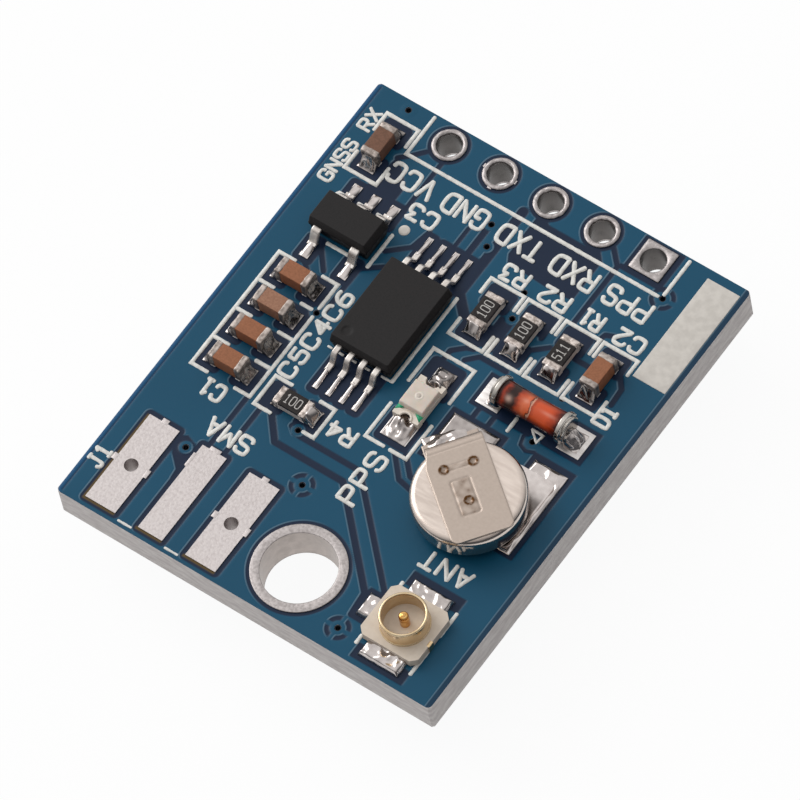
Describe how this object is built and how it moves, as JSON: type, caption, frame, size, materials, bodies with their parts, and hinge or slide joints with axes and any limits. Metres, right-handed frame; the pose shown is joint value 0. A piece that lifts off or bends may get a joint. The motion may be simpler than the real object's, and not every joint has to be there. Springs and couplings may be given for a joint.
{
  "type": "satellite positioning module",
  "caption": "Small blue circuit board with a plated header row, edge pads, a push-on aerial socket, a backup cell and a shielded satellite receiver underneath.",
  "frame": {"origin": "under the middle of the board, on the plane of the receiver shield's outer face", "axes": "+X along the header row towards its square pad, +Y towards the header edge, +Z out of the component side"},
  "size_m": [0.0186, 0.0222, 0.0057],
  "materials": {
    "board": "blue solder mask over glass-epoxy laminate",
    "tin_plate": "hot-air levelled tin, satin",
    "solder": "reflowed solder, bright and wrinkled",
    "capacitor_brown": "fired ceramic, satin",
    "capacitor_dark": "fired ceramic, satin",
    "capacitor_tan": "fired ceramic, satin",
    "end_metal": "tin-plated metal",
    "resistor_ceramic": "white alumina, matt",
    "resistor_coat": "dark cover glaze",
    "lamp_base": "white laminate",
    "lamp_lens": "milky moulded epoxy",
    "gold": "thin gold plating",
    "diode_glass": "clear glass sleeve",
    "diode_copper": "oxidised copper slug",
    "cell_steel": "nickel-plated steel, satin",
    "gasket": "moulded sealing ring",
    "socket_plastic": "moulded liquid-crystal polymer",
    "moulding": "moulded black epoxy, matt",
    "receiver_base": "green solder mask over laminate",
    "shield_steel": "tin-plated drawn sheet"
  },
  "bodies": {
    "root": {"printed_board": "board", "mounting_ring": "tin_plate", "vias": "tin_plate", "solder_lands": "tin_plate", "receiver_lands": "tin_plate", "solder_fillets": "solder", "receiver_fillets": "solder", "capacitor_1": "capacitor_brown", "capacitor_2": "capacitor_brown", "capacitor_3": "capacitor_dark", "capacitor_4": "capacitor_tan", "capacitor_5": "capacitor_brown", "capacitor_6": "capacitor_brown", "led_base": "lamp_base", "led_lens": "lamp_lens", "led_ends": "gold", "diode_glass": "diode_glass", "diode_caps": "end_metal", "diode_slugs": "diode_copper", "cell_can": "cell_steel", "cell_gasket": "gasket", "cell_cap": "cell_steel", "cell_top_tab": "cell_steel", "cell_bottom_tab": "cell_steel", "coax_body": "socket_plastic", "coax_shell": "gold", "coax_pin": "gold", "memory_body": "moulding", "memory_leads": "end_metal", "regulator_body": "moulding", "regulator_leads": "end_metal", "receiver_substrate": "receiver_base", "receiver_shield": "shield_steel", "receiver_ends": "gold", "header_pad_vcc": "tin_plate", "header_pad_gnd": "tin_plate", "header_pad_txd": "tin_plate", "header_pad_rxd": "tin_plate", "header_pad_pps": "tin_plate", "edge_pad_ground_left": "tin_plate", "edge_pad_signal": "tin_plate", "edge_pad_ground_right": "tin_plate", "capacitor_1_ends": "end_metal", "capacitor_2_ends": "end_metal", "capacitor_3_ends": "end_metal", "capacitor_4_ends": "end_metal", "capacitor_5_ends": "end_metal", "capacitor_6_ends": "end_metal", "resistor_1": "resistor_ceramic", "resistor_1_film": "resistor_coat", "resistor_1_ends": "end_metal", "resistor_2": "resistor_ceramic", "resistor_2_film": "resistor_coat", "resistor_2_ends": "end_metal", "resistor_3": "resistor_ceramic", "resistor_3_film": "resistor_coat", "resistor_3_ends": "end_metal", "resistor_4": "resistor_ceramic", "resistor_4_film": "resistor_coat", "resistor_4_ends": "end_metal"}
  },
  "joints": []
}
